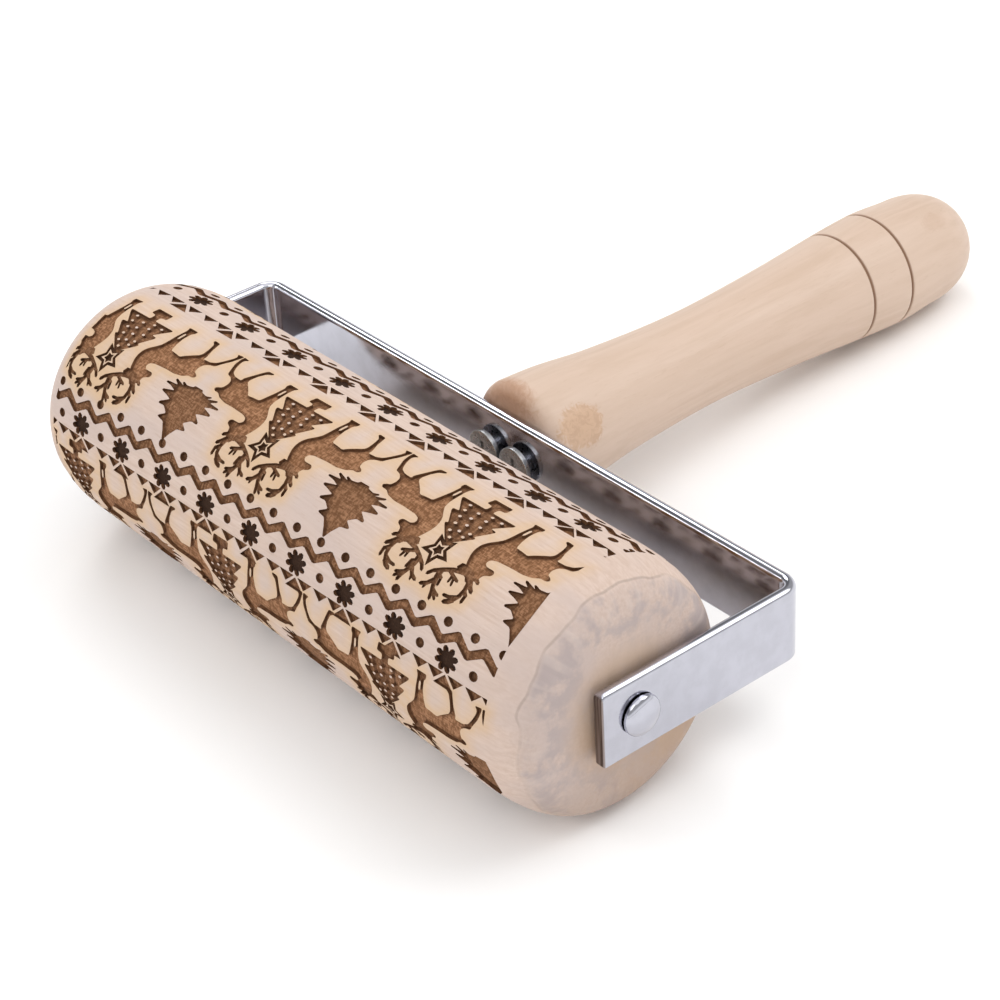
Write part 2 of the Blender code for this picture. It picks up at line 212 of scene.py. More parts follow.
class Nodes:
    """Short calls for building the nodes of a material or of the world."""

    def __init__(self, owner, shader):
        owner.use_nodes = True
        self.owner, self.tree = owner, owner.node_tree
        self.shader = self.tree.nodes[shader]

    def feed(self, socket, value):
        """Link an output to the socket, or set the socket to a plain value."""
        if isinstance(value, bpy.types.NodeSocket):
            self.tree.links.new(value, socket)
        else:
            socket.default_value = (*value, 1.0) if socket.type == "RGBA" else value

    def node(self, kind, inputs, **settings):
        """A new node with those settings, and its inputs fed by their names or numbers."""
        node = self.tree.nodes.new("ShaderNode" + kind)
        for name, setting in settings.items():
            setattr(node, name, setting)
        for name, value in inputs.items():
            self.feed(node.inputs[name], value)
        return node

    def object_place(self, scale=(1.0, 1.0, 1.0), turn=(0.0, 0.0, 0.0)):
        """Where a point is on the piece, times scale, turned."""
        place = self.node("TexCoord", {}).outputs["Object"]
        inputs = {"Vector": place, "Scale": scale, "Rotation": turn}
        return self.node("Mapping", inputs).outputs["Vector"]

    def noise(self, place, scale, detail=3.0, roughness=0.5, distortion=0.0):
        inputs = {
            "Vector": place, "Scale": scale, "Detail": detail, "Roughness": roughness,
            "Distortion": distortion,
        }
        return self.node("TexNoise", inputs).outputs["Fac"]

    def ramp(self, value, low, high, start=0.0, end=1.0):
        """value from low..high to start..end, held at both ends."""
        inputs = {
            "Value": value, "From Min": low, "From Max": high, "To Min": start, "To Max": end,
        }
        node = self.node("MapRange", inputs, interpolation_type="SMOOTHSTEP")
        return node.outputs["Result"]

    def split(self, place):
        return tuple(self.node("SeparateXYZ", {"Vector": place}).outputs)

    def join(self, x, y, z):
        return self.node("CombineXYZ", {"X": x, "Y": y, "Z": z}).outputs["Vector"]

    def math(self, operation, first, second=0.0):
        return self.node("Math", {0: first, 1: second}, operation=operation).outputs["Value"]

    def times(self, first, second):
        return self.math("MULTIPLY", first, second)

    def plus(self, first, second):
        return self.math("ADD", first, second)

    def minus(self, first, second):
        return self.math("SUBTRACT", first, second)

    def hypotenuse(self, first, second):
        squares = [self.times(side, side) for side in (first, second)]
        return self.math("SQRT", self.plus(*squares))

    def dot(self, way, direction):
        node = self.node("VectorMath", {0: way, 1: direction}, operation="DOT_PRODUCT")
        return node.outputs["Value"]

    def rounded_place(self, across, up, reach, round_scale, reach_scale):
        """A place on a turned surface, scaled apart round it and along it, without a seam."""
        sides = [self.times(side, round_scale) for side in (across, up)]
        return self.join(*sides, self.times(reach, reach_scale))

    def mix(self, share, first, second):
        node = self.node("Mix", {0: share}, data_type="RGBA")
        colours = [socket for socket in node.inputs if socket.type == "RGBA"]
        self.feed(colours[0], first)
        self.feed(colours[1], second)
        return next(socket for socket in node.outputs if socket.type == "RGBA")

    def attribute(self, name):
        return self.node("Attribute", {}, attribute_name=name).outputs["Fac"]

    def bump(self, height, depth):
        node = self.node("Bump", {"Height": height, "Distance": depth, "Strength": 1.0})
        self.feed(self.shader.inputs["Normal"], node.outputs["Normal"])

    def finish(self, colour, roughness, metallic=0.0):
        self.feed(self.shader.inputs["Base Color"], colour)
        self.feed(self.shader.inputs["Roughness"], roughness)
        self.shader.inputs["Metallic"].default_value = metallic
        return self.owner


def surface_nodes(name):
    return Nodes(bpy.data.materials.new(name), "Principled BSDF")


def roller_wood():
    """Bare sanded beech of the roller: short grain flecks along X, scorched halos round the deer,
    grey smudges and scraper marks on the rounded ends, and tan end grain on the flat ends."""
    n = surface_nodes("roller_beech")
    reach = n.math("ABSOLUTE", n.split(n.object_place())[0])
    grain = n.noise(n.object_place((0.06, 1.0, 1.0)), 1.6, 5.0, 0.6, 0.3)
    flecks = n.noise(n.object_place((0.3, 2.0, 2.0)), 1.5, 2.0, 0.5)
    cloud = n.noise(n.object_place((0.3, 1.0, 1.0)), 0.075, 3.0, 0.55)
    colour = n.mix(n.ramp(grain, 0.3, 0.75), (0.64, 0.50, 0.425), (0.56, 0.415, 0.335))
    colour = n.mix(n.ramp(cloud, 0.4, 0.65, 0.0, 0.75), colour, (0.55, 0.44, 0.395))
    plain = n.ramp(reach, 60.0, 66.0, 0.3, 0.05)
    specks = n.times(n.ramp(flecks, 0.6, 0.72), plain)
    colour = n.mix(specks, colour, (0.46, 0.31, 0.225))
    scorch = n.times(n.attribute("scorch"), n.ramp(cloud, 0.25, 0.6, 0.55, 1.0))
    colour = n.mix(n.times(scorch, 0.8), colour, (0.62, 0.41, 0.225))
    colour, marks = roller_ends(n, colour)
    fine = n.times(n.plus(grain, flecks), n.ramp(reach, 62.0, 70.0, 1.0, 0.25))
    n.bump(n.plus(fine, marks), 0.05 * MM)
    return n.finish(colour, n.ramp(grain, 0.2, 0.8, 0.55, 0.7))


def roller_ends(n, colour):
    """The wood towards the roller's ends, as its colour and the height of the marks in it.

    Everything goes by how far in a place is, which is measured out along the roller and then
    down its end: first a fine ridge, then a smudged and scraped band, then the tan flat end.
    """
    x, y, z = n.split(n.object_place())
    reach, radius = n.math("ABSOLUTE", x), n.hypotenuse(y, z)
    down = n.minus(ROLLER_RADIUS, radius)
    inward = n.plus(reach, n.times(down, 0.5))
    across, up = n.math("DIVIDE", y, radius), n.math("DIVIDE", z, radius)

    waver = n.noise(n.rounded_place(across, up, reach, 2.2, 0.0), 1.0, 1.5, 0.5)
    ridge = n.minus(inward, n.ramp(waver, 0.3, 0.7, 72.6, 74.8))
    line = n.ramp(n.math("ABSOLUTE", ridge), 0.45, 0.1, 0.0, 0.45)
    smear = n.noise(n.object_place((0.5, 1.0, 1.0)), 0.11, 3.0, 0.6)
    colour = n.mix(n.times(line, n.ramp(smear, 0.35, 0.55)), colour, (0.34, 0.26, 0.22))

    band = n.times(n.ramp(ridge, -0.6, 1.2), n.ramp(inward, 84.5, 78.5))
    smudge = n.noise(n.object_place((0.5, 1.0, 1.0)), 0.20, 4.0, 0.58)
    smudged = n.times(band, n.ramp(smudge, 0.40, 0.60, 0.25, 0.95))
    colour = n.mix(smudged, colour, (0.42, 0.345, 0.33))
    scrape = n.noise(n.rounded_place(across, up, inward, 11.0, 0.12), 1.0, 1.5, 0.45)
    rim = n.times(band, n.ramp(inward, 80.0, 76.5))
    scraped = n.times(rim, n.ramp(scrape, 0.50, 0.66, 0.0, 0.35))
    colour = n.mix(scraped, colour, (0.62, 0.51, 0.455))

    low_right = n.times(n.ramp(z, -6.0, -13.0), n.ramp(y, -6.0, 6.0))
    face = n.math("MAXIMUM", n.ramp(inward, 79.5, 83.5), n.times(low_right, 0.9))
    face = n.times(face, n.ramp(inward, 73.0, 77.0, 0.0, 0.9))
    colour = n.mix(face, colour, end_grain(n, z))
    # Painted shade: the ends are painted darker brown towards their underside.
    painted_underside_shade = n.times(n.ramp(z, -6.0, -20.0, 0.0, 0.6), n.ramp(inward, 66.0, 75.0))
    colour = n.mix(painted_underside_shade, colour, (0.38, 0.275, 0.215))

    marks = n.times(n.times(scrape, rim), 8.0)
    marks = n.plus(marks, n.times(n.ramp(ridge, -0.4, 0.4), -4.0))
    return colour, marks


def end_grain(n, z):
    """Colour of the roller's flat ends: tan growth rings, browner and darker low down as painted
    shade, in pale patches.
    """
    rings = n.noise(n.object_place((0.0, 0.5, 0.12), (0.35, 0.0, 0.0)), 0.6, 3.0, 0.5, 0.4)
    tan = n.mix(n.ramp(rings, 0.3, 0.7), (0.58, 0.43, 0.325), (0.53, 0.385, 0.28))
    # Painted shade: the flat ends are painted browner and darker towards the bottom.
    tan = n.mix(n.ramp(z, 4.0, -12.0, 0.0, 0.6), tan, (0.56, 0.355, 0.205))
    patch = n.noise(n.object_place((0.0, 1.0, 1.0)), 0.13, 3.0, 0.6)
    return n.mix(n.ramp(patch, 0.45, 0.62, 0.0, 0.55), tan, (0.52, 0.415, 0.375))


CHAR_SPECULAR = 0.12  # charred wood hardly shines


def engraved_floor():
    """Floor of the engraving: burnt brown, combed by the laser's passes, darker where it burnt
    and beside the walls."""
    n = surface_nodes("engraved_floor")
    burn, rim = n.attribute("burn"), n.attribute("rim")
    comb = n.noise(n.object_place((0.35, 2.0, 2.0), (0.0, 0.0, 0.05)), 1.5, 3.0, 0.65)
    cross = n.noise(n.object_place((1.0, 0.5, 0.5)), 2.2, 2.0, 0.5)
    blotch = n.noise(n.object_place((0.6, 1.0, 1.0)), 0.45, 3.0, 0.6)
    speck = n.times(comb, cross)
    colour = n.mix(n.ramp(speck, 0.17, 0.36), (0.19, 0.086, 0.04), (0.43, 0.222, 0.118))
    colour = n.mix(n.ramp(blotch, 0.35, 0.7, 0.0, 0.45), colour, (0.20, 0.092, 0.04))
    beside = n.ramp(n.plus(rim, n.times(blotch, 0.5)), 0.75, 1.4, 0.0, 0.72)
    colour = n.mix(beside, colour, (0.105, 0.048, 0.024))
    colour = n.mix(burn, colour, (0.024, 0.012, 0.008))
    n.bump(speck, 0.35 * MM)
    n.shader.inputs["Specular IOR Level"].default_value = CHAR_SPECULAR
    return n.finish(colour, 0.85)


def engraved_edge():
    """Cut edge of the engraving, which the laser leaves darkest."""
    n = surface_nodes("engraved_edge")
    soot = n.noise(n.object_place(), 0.9, 3.0, 0.6)
    colour = n.mix(n.ramp(soot, 0.3, 0.7), (0.17, 0.08, 0.038), (0.09, 0.04, 0.02))
    n.bump(soot, 0.1 * MM)
    n.shader.inputs["Specular IOR Level"].default_value = CHAR_SPECULAR
    return n.finish(colour, 0.85)


def handle_wood():
    """Turned beech: long grain, dark lines in the two grooves, and a few brown stains."""
    n = surface_nodes("handle_beech")
    x, y, z = n.split(n.object_place())
    grain = n.noise(n.object_place((1.0, 1.0, 0.05)), 0.5, 5.0, 0.6, 0.5)
    flecks = n.noise(n.object_place((2.2, 2.2, 0.3)), 1.1, 2.0, 0.5)
    cloud = n.noise(n.object_place((1.0, 1.0, 0.3)), 0.08, 3.0, 0.55)
    colour = n.mix(n.ramp(grain, 0.3, 0.72), (0.63, 0.475, 0.375), (0.57, 0.42, 0.318))
    colour = n.mix(n.ramp(cloud, 0.4, 0.65, 0.0, 0.6), colour, (0.625, 0.475, 0.375))
    colour = n.mix(n.ramp(flecks, 0.62, 0.74, 0.0, 0.25), colour, (0.50, 0.35, 0.24))
    veins = n.noise(n.object_place(), 0.55, 4.0, 0.7, 1.0)
    ragged = n.times(n.minus(veins, 0.5), 2.6)
    for spot, (across, along), strength, softness, stain in STAINS:
        squares = []
        for axis, middle, size in zip((x, y, z), spot, (across, across, along)):
            offset = n.times(n.minus(axis, middle), 1.0 / size)
            squares.append(n.times(offset, offset))
        outside = n.plus(n.plus(squares[0], squares[1]), squares[2])
        outside = n.plus(outside, ragged)
        veined = n.mix(n.ramp(veins, 0.40, 0.55, 0.3, 0.0), stain, (0.33, 0.17, 0.09))
        share = n.ramp(outside, 1.0 + softness, 0.9 - softness, 0.0, strength)
        colour = n.mix(share, colour, veined)
    groove = n.math("MINIMUM", *(n.math("ABSOLUTE", n.minus(z, g)) for g in GROOVES))
    colour = n.mix(n.ramp(groove, 0.48, 0.2, 0.0, 0.85), colour, (0.22, 0.105, 0.05))
    n.bump(n.plus(grain, flecks), 0.03 * MM)
    return n.finish(colour, n.ramp(grain, 0.2, 0.8, 0.42, 0.55))


def chrome():
    """Bright chrome plate, a little worn, with the arms' tip faces painted dark brown in bands:
    painted shade and painted reflection of the roller's end, not a colour of the steel.
    """
    n = surface_nodes("chrome")
    wear = n.noise(n.object_place(), 0.25, 4.0, 0.6)
    scratch = n.noise(n.object_place((0.15, 0.15, 6.0)), 3.0, 2.0, 0.6)
    colour = n.mix(n.ramp(wear, 0.35, 0.65), (0.545, 0.545, 0.605), (0.505, 0.505, 0.56))
    # Painted shade and painted reflection: the arms' tip faces are painted dark brown in bands.
    painted_tip_shade_mask = n.ramp(n.split(n.object_place())[1], FRONT + 0.3, FRONT + 0.1)
    painted_reflection_bands = n.noise(n.object_place((3.0, 0.0, 0.05)), 0.8, 2.0, 0.5)
    painted_tip_shade_colour = n.mix(n.ramp(painted_reflection_bands, 0.35, 0.65), (0.10, 0.075, 0.065), (0.30, 0.25, 0.235))
    colour = n.mix(painted_tip_shade_mask, colour, painted_tip_shade_colour)
    n.bump(scratch, 0.002 * MM)
    polish = n.ramp(wear, 0.3, 0.7, 0.05, 0.11)
    return n.finish(colour, n.plus(polish, n.times(painted_tip_shade_mask, 0.3)), 1.0)


def steel():
    """The drawn rod, with fine lines along it."""
    n = surface_nodes("steel")
    drawn = n.noise(n.object_place((3.0, 3.0, 0.1)), 2.0, 3.0, 0.6)
    colour = n.mix(n.ramp(drawn, 0.3, 0.7), (0.58, 0.58, 0.60), (0.45, 0.45, 0.47))
    n.bump(drawn, 0.01 * MM)
    return n.finish(colour, n.ramp(drawn, 0.3, 0.7, 0.25, 0.4), 1.0)


def zinc():
    """The screws' plating, greyer and duller than the chrome."""
    n = surface_nodes("zinc")
    tarnish = n.noise(n.object_place(), 0.8, 3.0, 0.6)
    colour = n.mix(n.ramp(tarnish, 0.35, 0.65), (0.50, 0.51, 0.52), (0.36, 0.36, 0.36))
    n.bump(tarnish, 0.02 * MM)
    return n.finish(colour, n.ramp(tarnish, 0.3, 0.7, 0.22, 0.38), 1.0)


def nylon():
    """Natural nylon of the bushes, the washers and the spacer."""
    n = surface_nodes("nylon")
    cloud = n.noise(n.object_place(), 0.6, 3.0, 0.6)
    colour = n.mix(n.ramp(cloud, 0.3, 0.7), (0.84, 0.83, 0.79), (0.76, 0.75, 0.70))
    n.bump(cloud, 0.02 * MM)
    return n.finish(colour, n.ramp(cloud, 0.3, 0.7, 0.4, 0.55))


CHROME = chrome()
STEEL = steel()
ZINC = zinc()
NYLON = nylon()
HANDLE_WOOD = handle_wood()
ROLLER_WOODS = (roller_wood(), engraved_floor(), engraved_edge())
LAND, FLOOR, WALL = range(3)  # the numbers of the roller's materials

# ---- setting pieces down


def set_down(piece, body, node, local=None):
    """Put a piece made in millimetres where it belongs, in place of its CAD node."""
    piece.matrix_world = HOLDER @ (local or Matrix.Identity(4))
    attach(piece, body)
    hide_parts(node)


def new_object(name, data):
    made = bpy.data.objects.new(name, data)
    bpy.context.scene.collection.objects.link(made)
    return made


def new_piece(name, mesh, materials):
    for surface in materials:
        mesh.materials.append(surface)
    return new_object(name, mesh)


def rounded(outer, inner, steps, power=2.0):
    """A quarter arc of (radius, height) points, from the outer radius in to the inner one."""
    points = []
    for i in range(steps + 1):
        angle = 0.5 * pi * i / steps
        radius = inner[0] + (outer[0] - inner[0]) * max(cos(angle), 0.0) ** (2.0 / power)
        height = outer[1] + (inner[1] - outer[1]) * max(sin(angle), 0.0) ** (2.0 / power)
        points.append((radius, height))
    return points


def ring_of(shape, radius, height, steps):
    """Vertices round Z, or the same one each time where the radius is nothing."""
    if radius < 1e-6:
        return [shape.verts.new((0.0, 0.0, height))] * steps
    angles = [2.0 * pi * i / steps for i in range(steps)]
    return [shape.verts.new((radius * cos(a), radius * sin(a), height)) for a in angles]


def bridge(shape, upper, lower):
    """Faces all the way round between two rings."""
    for i in range(len(upper)):
        j = (i + 1) % len(upper)
        corners = list(dict.fromkeys((upper[i], lower[i], lower[j], upper[j])))
        if len(corners) > 2:
            shape.faces.new(corners)


def smooth_mesh(name, shape, sharp=30.0):
    """The finished mesh, smooth but for edges that turn by more than sharp degrees."""
    bmesh.ops.recalc_face_normals(shape, faces=shape.faces)
    mesh = bpy.data.meshes.new(name)
    shape.to_mesh(mesh)
    shape.free()
    mesh.shade_smooth()
    mesh.set_sharp_from_angle(angle=radians(sharp))
    return mesh


def spun(profile, steps):
    """Rings about Z from (radius, height) points, joined one to the next."""
    shape = bmesh.new()
    rings = [ring_of(shape, radius, height, steps) for radius, height in profile]
    for upper, lower in zip(rings, rings[1:]):
        bridge(shape, upper, lower)
    return shape, rings


def turned(name, profile, material, steps=64):
    """A piece turned about its own Z from (radius, height) points down its side."""
    shape, rings = spun(profile, steps)
    if profile[0][0] > 1e-6:
        bridge(shape, rings[-1], rings[0])
    return new_piece(name, smooth_mesh(name, shape), [material])


ALONG_X = Matrix.Rotation(radians(90.0), 4, "Y")
AGAINST_X = Matrix.Rotation(radians(-90.0), 4, "Y")
ALONG_Y = Matrix.Rotation(radians(-90.0), 4, "X")
AGAINST_Y = Matrix.Rotation(radians(90.0), 4, "X")

# ---- the pattern's outlines

# Each motif is drawn in millimetres: the first number runs along the roller, and the second
# round it, from a deer's hooves towards its antlers.

DEER = [
    (8.4, 0.2), (11.1, 0.2), (11.1, 1.1), (10.7, 1.5), (10.7, 3.4), (11.1, 5.4), (11.6, 6.9),
    (13.2, 7.0), (14.7, 7.2), (15.6, 6.4), (17.0, 5.4), (17.9, 4.8), (18.2, 4.1), (17.9, 2.5),
    (17.3, 1.0), (16.2, 0.3), (16.3, -0.1), (17.9, 0.0), (18.3, 1.0), (18.9, 2.7), (19.7, 4.4),
    (19.6, 5.1), (21.6, 5.0), (22.9, 4.4), (23.7, 3.2), (24.4, 1.6), (24.5, 0.8), (23.8, 0.1),
    (25.5, -0.1), (25.4, 1.0), (25.0, 2.5), (24.1, 4.1), (23.5, 5.3), (22.2, 5.6), (21.2, 6.3),
    (20.9, 7.3), (21.2, 8.4), (22.1, 8.7), (22.6, 9.2), (22.0, 9.7), (20.8, 9.7), (19.6, 10.4),
    (17.5, 10.8), (14.6, 10.8), (11.4, 11.0), (10.2, 11.4), (9.9, 12.2), (10.6, 12.8),
    (12.6, 12.8), (13.1, 13.3), (12.9, 13.9), (11.7, 14.4), (11.4, 15.0), (11.4, 15.9),
    (9.6, 15.9), (7.5, 15.7), (7.2, 14.7), (6.6, 13.6), (6.0, 12.2), (5.8, 11.0), (6.0, 9.8),
    (6.6, 8.8), (7.6, 7.8), (8.4, 6.8), (8.7, 5.4), (8.8, 3.6), (8.9, 2.2), (8.9, 1.1),
]
FORELEG_SLIT = [(9.7, 2.0), (10.0, 2.3), (10.0, 3.7), (9.7, 4.1), (9.5, 3.6), (9.5, 2.4)]

# Antlers, as strokes: (width, points)
ANTLERS = [
    (1.1, [(6.4, 15.2), (7.5, 15.0), (9.0, 15.2)]),
    (0.62, [(8.6, 15.6), (7.3, 15.8), (5.6, 16.2), (3.7, 17.1), (2.2, 18.0), (1.4, 18.9)]),
    (0.5, [(5.1, 16.5), (6.5, 17.1), (8.0, 17.6)]),
    (0.42, [(6.4, 17.1), (6.4, 18.4)]),
    (0.42, [(7.0, 17.4), (7.4, 18.7)]),
    (0.85, [(3.6, 17.3), (3.7, 18.8), (4.1, 20.0)]),
    (0.62, [(4.1, 20.0), (4.7, 21.4), (5.0, 22.5)]),
    (0.5, [(3.6, 18.0), (4.6, 18.4), (4.9, 19.8)]),
    (0.6, [(3.6, 19.3), (2.6, 20.5), (1.4, 21.0)]),
    (0.4, [(2.7, 20.4), (2.4, 21.4)]),
    (0.5, [(4.2, 20.6), (5.3, 21.1), (6.3, 21.4)]),
    (0.5, [(4.9, 21.1), (6.1, 22.2)]),
    (0.7, [(8.6, 15.7), (9.6, 16.0), (10.3, 17.0), (10.6, 18.3), (10.4, 19.6), (9.8, 20.6)]),
    (0.7, [(9.8, 20.6), (9.1, 21.3), (8.1, 21.7)]),
    (0.5, [(10.1, 20.0), (8.6, 20.6), (7.3, 20.7)]),
    (0.6, [(10.0, 15.8), (11.2, 15.7), (11.9, 16.1)]),
    (0.65, [(10.3, 16.4), (11.2, 17.4), (12.0, 18.0)]),
    (0.6, [(10.6, 18.4), (11.5, 19.0), (11.5, 20.3)]),
    (0.4, [(8.8, 15.9), (9.5, 16.8)]),
]

# The firs, as their right halves
SNOWY_FIR = [
    (0.0, -0.2), (2.3, -0.2), (2.4, 1.5), (0.9, 1.7), (0.9, 3.0), (6.8, 3.0), (6.8, 3.4),
    (4.2, 6.1), (5.6, 6.2), (5.5, 6.7), (3.4, 9.2), (4.0, 9.4), (3.7, 9.8), (1.4, 11.8),
    (0.3, 12.8), (0.0, 12.9),
]
SNOW = [
    (-3.9, 3.9), (-0.9, 4.6), (1.9, 3.9), (4.4, 4.0), (-3.5, 5.4), (1.9, 5.3), (-0.8, 6.3),
    (-2.9, 7.0), (2.4, 7.0), (0.0, 7.9), (-2.2, 8.6), (2.2, 9.1), (0.0, 9.6), (-1.7, 10.3),
    (1.7, 10.3), (-0.4, 11.5),
]
SNOW_SIZE = (0.42, 0.28, 6)
JAGGED_FIR = [
    (0.0, 10.8), (1.3, 10.8), (1.4, 11.2), (3.0, 11.5), (4.4, 11.1), (4.6, 11.4), (3.8, 11.9),
    (6.5, 11.2), (6.6, 11.6), (5.2, 12.3), (8.2, 12.5), (8.2, 12.9), (6.4, 13.1), (4.8, 13.6),
    (7.6, 14.3), (7.6, 14.7), (5.6, 15.1), (4.2, 15.5), (6.3, 16.8), (6.1, 17.2), (4.5, 17.1),
    (2.8, 18.2), (4.4, 19.2), (4.2, 19.5), (2.3, 19.8), (1.0, 21.5), (0.2, 22.9), (0.0, 22.9),
]

DEER_PERIOD = 49.85
STAR_HEIGHT = 14.5
# The star over the snowy fir, a ring of wood in it and its core: (tip, notch, rank, burn)
STAR_RINGS = [(3.6, 1.75, 1, 0.6), (2.0, 1.0, 2, 0.0), (1.25, 0.75, 3, 0.7)]
LEFT_DEER_SHIFT = 1.3
JAGGED_SHIFT = 25.7
ANTLER_WEIGHT = 1.65  # thickens every antler stroke alike

# A border's zigzag: (share of a half period, along, round) of each corner of its two edges
BORDER_PERIOD = 14.14
ZIGZAG_UPPER = [(0.05, -0.35, -5.35), (0.05, 0.35, -5.45), (0.55, -0.2, -3.6), (0.55, 0.3, -3.6)]
ZIGZAG_LOWER = [(0.05, -0.2, -3.45), (0.05, 0.3, -3.45), (0.55, -0.3, -1.8), (0.55, 0.4, -1.8)]
ZIGZAG_LINE = -3.5
DOT_LINE = -5.9
DOT_SIZE = (1.08, 0.92, 12)

# The whole pattern. A band of deer: (a star's place along the roller, the line of the hooves,
# its slope). A border: (a flower's place, the flowers' line, from there to the triangles, bow).
PATTERN_LEFT, PATTERN_RIGHT = -67.3, 67.9
DEER_BANDS = [(-6.7, 39.3, -0.008), (-9.3, 73.5, 0.0), (-6.7, 114.0, 0.0), (-6.7, -1.7, 0.0)]
BORDERS = [
    (3.4, 30.8, 3.7, 0.0009), (0.0, 69.0, 2.5, 0.0), (0.0, 104.5, 3.7, 0.0), (0.0, 146.0, 3.7, 0.0),
]
SHEAR = -0.08  # the motifs lean a little round the roller


def mirrored_half(half):
    return half + [(-u, v) for u, v in reversed(half) if u > 1e-6]


def softened(points):
    """The outline with its corners cut once, so that it looks burnt and not knife-cut."""
    soft = []
    for i, (u, v) in enumerate(points):
        before, after = points[i - 1], points[(i + 1) % len(points)]
        for other in (before, after):
            reach = min(0.25, 0.22 / max(hypot(other[0] - u, other[1] - v), 1e-6))
            soft.append((u + (other[0] - u) * reach, v + (other[1] - v) * reach))
    return soft


def ellipse(u, v, across, along, steps):
    angles = [2.0 * pi * i / steps for i in range(steps)]
    return [(u + across * cos(a), v + along * sin(a)) for a in angles]


def stroke(width, points):
    """A line of that width with a rounded start and a narrower, rounded end."""
    left, right = [], []
    last = len(points) - 1
    for i, (u, v) in enumerate(points):
        before, after = points[max(i - 1, 0)], points[min(i + 1, last)]
        du, dv = after[0] - before[0], after[1] - before[1]
        length = hypot(du, dv)
        half = 0.5 * width * (1.0 - 0.25 * i / last)
        left.append((u - half * dv / length, v + half * du / length))
        right.append((u + half * dv / length, v - half * du / length))
    (u0, v0), (u1, v1) = points[0], points[1]
    back = 0.4 * width / hypot(u1 - u0, v1 - v0)
    (um, vm), (un, vn) = points[-2], points[-1]
    on = 0.4 * width / hypot(un - um, vn - vm)
    start = (u0 - back * (u1 - u0), v0 - back * (v1 - v0))
    end = (un + on * (un - um), vn + on * (vn - vm))
    return [start] + left + [end] + list(reversed(right))


def star(u, v, tip, notch):
    points = []
    for i in range(10):
        radius = tip if i % 2 == 0 else notch
        angle = 0.5 * pi + pi * i / 5.0
        points.append((u + radius * cos(angle), v + radius * sin(angle)))
    return points


def flower(u, v):
    """Eight narrow petals with a notch between each two."""
    points = []
    for i in range(8):
        middle = 0.25 * pi * (i + 0.5)
        petal = ((1.75, -0.38), (2.4, -0.27), (2.8, -0.12), (2.85, 0.08), (2.4, 0.27))
        for radius, turn in petal:
            angle = middle + turn
            points.append((u + 1.04 * radius * cos(angle), v + 0.84 * radius * sin(angle)))
    return points


class Pattern:
    """Closed outlines on the unrolled surface, as (points, rank, burn, scorches).

    The outline of the highest rank decides whether a place is cut. Even ranks stay uncut. burn
    is how dark its floor is, and an outline that scorches has a brown halo on the wood round it.
    """

    def __init__(self):
        self.outlines = []

    def add(self, points, rank=1, burn=0.0, scorches=False):
        for edge, keep_above in ((PATTERN_LEFT, True), (PATTERN_RIGHT, False)):
            points = clipped(points, edge, keep_above)
            if len(points) < 3:
                return
        area = sum(a[0] * b[1] - b[0] * a[1] for a, b in zip(points, points[1:] + points[:1]))
        if area < 0.0:
            points = list(reversed(points))
        self.outlines.append((points, rank, burn, scorches))


def clipped(points, edge, keep_above):
    """The outline cut off at x = edge."""
    kept = []
    sign = 1.0 if keep_above else -1.0
    for i, point in enumerate(points):
        before = points[i - 1]
        inside, was_inside = sign * (point[0] - edge) > 0.0, sign * (before[0] - edge) > 0.0
        if inside != was_inside:
            share = (edge - before[0]) / (point[0] - before[0])
            kept.append((edge, before[1] + share * (point[1] - before[1])))
        if inside:
            kept.append(point)
    return kept


def deer_band(pattern, x, hooves, slope):
    """Pairs of deer at a snowy fir under a star, with a jagged fir between the pairs."""

    def place(points, centre, side=1.0, shift=0.0):
        spots = [(centre + (side * u + shift), v) for u, v in points]
        return [(at + SHEAR * (v - STAR_HEIGHT), hooves + v + slope * at) for at, v in spots]

    for k in range(-2, 3):
        centre = x + DEER_PERIOD * k
        for side, shift in ((1.0, 0.0), (-1.0, LEFT_DEER_SHIFT)):
            pattern.add(softened(place(DEER, centre, side, shift)), scorches=True)
            pattern.add(place(FORELEG_SLIT, centre, side, shift), rank=2)
            for width, points in ANTLERS:
                antler = stroke(ANTLER_WEIGHT * width, place(points, centre, side, shift))
                pattern.add(antler, burn=0.3, scorches=True)
        pattern.add(softened(place(mirrored_half(SNOWY_FIR), centre)), burn=0.2, scorches=True)
        for u, v in SNOW:
            pattern.add(place(ellipse(u, v, *SNOW_SIZE), centre), rank=2)
        for tip, notch, rank, burn in STAR_RINGS:
            outline = place(star(-0.1, STAR_HEIGHT, tip, notch), centre)
            pattern.add(outline, rank, burn, scorches=rank == 1)
        jagged = place(mirrored_half(JAGGED_FIR), centre + JAGGED_SHIFT)
        pattern.add(softened(jagged), burn=0.2)


